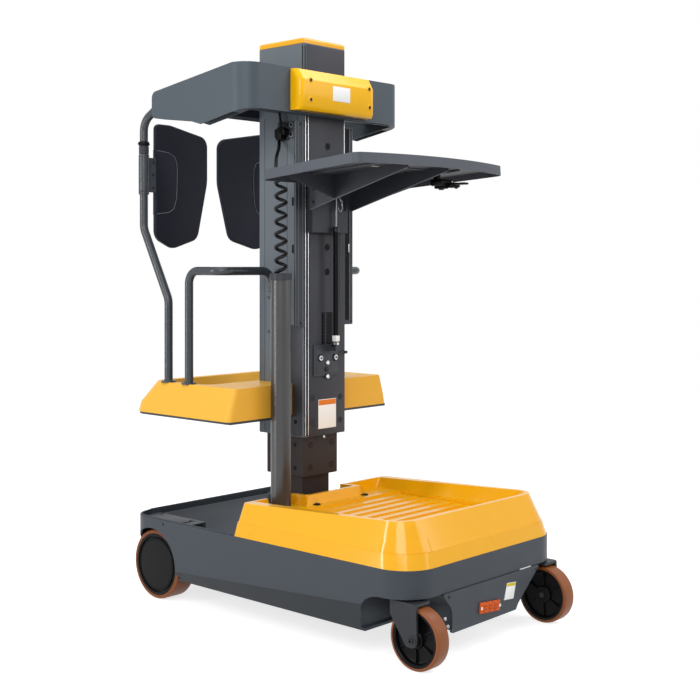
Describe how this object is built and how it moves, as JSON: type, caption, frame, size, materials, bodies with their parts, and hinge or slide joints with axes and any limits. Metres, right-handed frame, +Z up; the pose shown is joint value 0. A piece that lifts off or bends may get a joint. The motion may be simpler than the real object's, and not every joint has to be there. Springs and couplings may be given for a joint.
{
  "type": "order picker truck",
  "caption": "Compact order picker truck with raised operator platform, telescopic mast, front load tray, swing gates and caster-steered base.",
  "frame": {"origin": "on the floor, under the centre of the truck's bounding box", "axes": "+Z up, -Y towards the load deck and casters, +Y towards the gates, +X to the right when looking along +Y"},
  "size_m": [0.756, 1.3358, 1.874],
  "materials": {
    "chassis_grey": "satin",
    "cover_yellow": "gloss",
    "panel_dark": "matte",
    "mast_steel": "satin",
    "steel": "satin",
    "tray_plastic": "matte",
    "tube_black": "satin",
    "wheel_brown": "satin",
    "hub_black": "gloss",
    "cord_black": "matte",
    "conduit_grey": "matte",
    "mat_black": "matte"
  },
  "bodies": {
    "base": {"chassis_shell": "chassis_grey", "front_panel": "chassis_grey", "battery_block": "steel", "rear_pan": "chassis_grey", "wheel_cover_left": "chassis_grey", "wheel_cover_right": "chassis_grey", "load_deck": "cover_yellow", "mast_inner": "mast_steel", "cable_conduit": "conduit_grey", "conduit_collar": "panel_dark", "curly_cord": "cord_black", "drive_axle_left": "steel", "drive_axle_right": "steel", "caster_mount_left": "chassis_grey", "caster_mount_right": "chassis_grey"},
    "mid_stage": {"mast_middle": "mast_steel"},
    "carriage": {"mast_outer": "mast_steel", "mast_cap": "cover_yellow", "tray_guide_left": "mast_steel", "tray_guide_right": "mast_steel", "locking_rack": "mast_steel", "platform_shell": "cover_yellow", "platform_base": "chassis_grey", "floor_mat": "mat_black", "post_left": "tube_black", "post_right": "tube_black", "post_rings_left": "tube_black", "post_rings_right": "tube_black", "rail_left": "tube_black", "rail_right": "tube_black", "console_band": "tray_plastic", "band_shelf": "steel", "capacity_box": "cover_yellow", "operator_console": "panel_dark", "operator_grips": "cover_yellow", "strut_body": "steel", "strut_bracket": "mast_steel", "cable_junction": "hub_black", "cord_lead": "cord_black"},
    "tray": {"tray_slider": "mast_steel", "tray_shelf": "tray_plastic", "tray_gussets": "mast_steel", "strut_rod": "steel", "release_handle": "hub_black"},
    "gate_left": {"gate_panel_left": "panel_dark", "gate_sleeve_left": "tube_black"},
    "gate_right": {"gate_panel_right": "panel_dark", "gate_sleeve_right": "tube_black"},
    "drive_wheel_left": {"drive_tyre_left": "wheel_brown", "drive_hub_left": "hub_black"},
    "drive_wheel_right": {"drive_tyre_right": "wheel_brown", "drive_hub_right": "hub_black"},
    "caster_swivel_left": {"caster_fork_left": "chassis_grey"},
    "caster_wheel_left": {"caster_tyre_left": "wheel_brown", "caster_hub_left": "hub_black"},
    "caster_swivel_right": {"caster_fork_right": "chassis_grey"},
    "caster_wheel_right": {"caster_tyre_right": "wheel_brown", "caster_hub_right": "hub_black"}
  },
  "joints": [
    {"name": "lift", "type": "slide", "parent": "base", "child": "carriage", "axis": [0, 0, 1], "range_m": [-0.337, 1.655], "deforming": ["curly_cord"]},
    {"name": "mid_lift", "type": "slide", "parent": "base", "child": "mid_stage", "axis": [0, 0, 1], "range_m": [-0.1685, 0.8275]},
    {"name": "tray_height", "type": "slide", "parent": "carriage", "child": "tray", "axis": [0, 0, 1], "range_m": [-0.095, 0.095]},
    {"name": "gate_hinge_left", "type": "hinge", "parent": "carriage", "child": "gate_left", "pos_m": [-0.335, 0.6267, 1.4], "axis": [0, 0, -1], "range_deg": [0, 75], "stiffness_Nm_per_rad": 1.2},
    {"name": "gate_hinge_right", "type": "hinge", "parent": "carriage", "child": "gate_right", "pos_m": [0.335, 0.6267, 1.4], "axis": [0, 0, 1], "range_deg": [0, 75], "stiffness_Nm_per_rad": 1.2},
    {"name": "drive_roll_left", "type": "hinge", "parent": "base", "child": "drive_wheel_left", "pos_m": [-0.3175, 0.5347, 0.1155], "axis": [1, 0, 0], "continuous": true},
    {"name": "drive_roll_right", "type": "hinge", "parent": "base", "child": "drive_wheel_right", "pos_m": [0.3175, 0.5347, 0.1155], "axis": [1, 0, 0], "continuous": true},
    {"name": "caster_turn_left", "type": "hinge", "parent": "base", "child": "caster_swivel_left", "pos_m": [-0.315, -0.5483, 0.19], "axis": [0, 0, 1], "continuous": true},
    {"name": "caster_roll_left", "type": "hinge", "parent": "caster_swivel_left", "child": "caster_wheel_left", "pos_m": [-0.315, -0.5803, 0.0875], "axis": [1, 0, 0], "continuous": true},
    {"name": "caster_turn_right", "type": "hinge", "parent": "base", "child": "caster_swivel_right", "pos_m": [0.315, -0.5483, 0.19], "axis": [0, 0, 1], "continuous": true},
    {"name": "caster_roll_right", "type": "hinge", "parent": "caster_swivel_right", "child": "caster_wheel_right", "pos_m": [0.315, -0.5803, 0.0875], "axis": [1, 0, 0], "continuous": true}
  ],
  "couplings": [
    {"joint": "mid_lift", "follows": "lift", "ratio": 0.5}
  ]
}
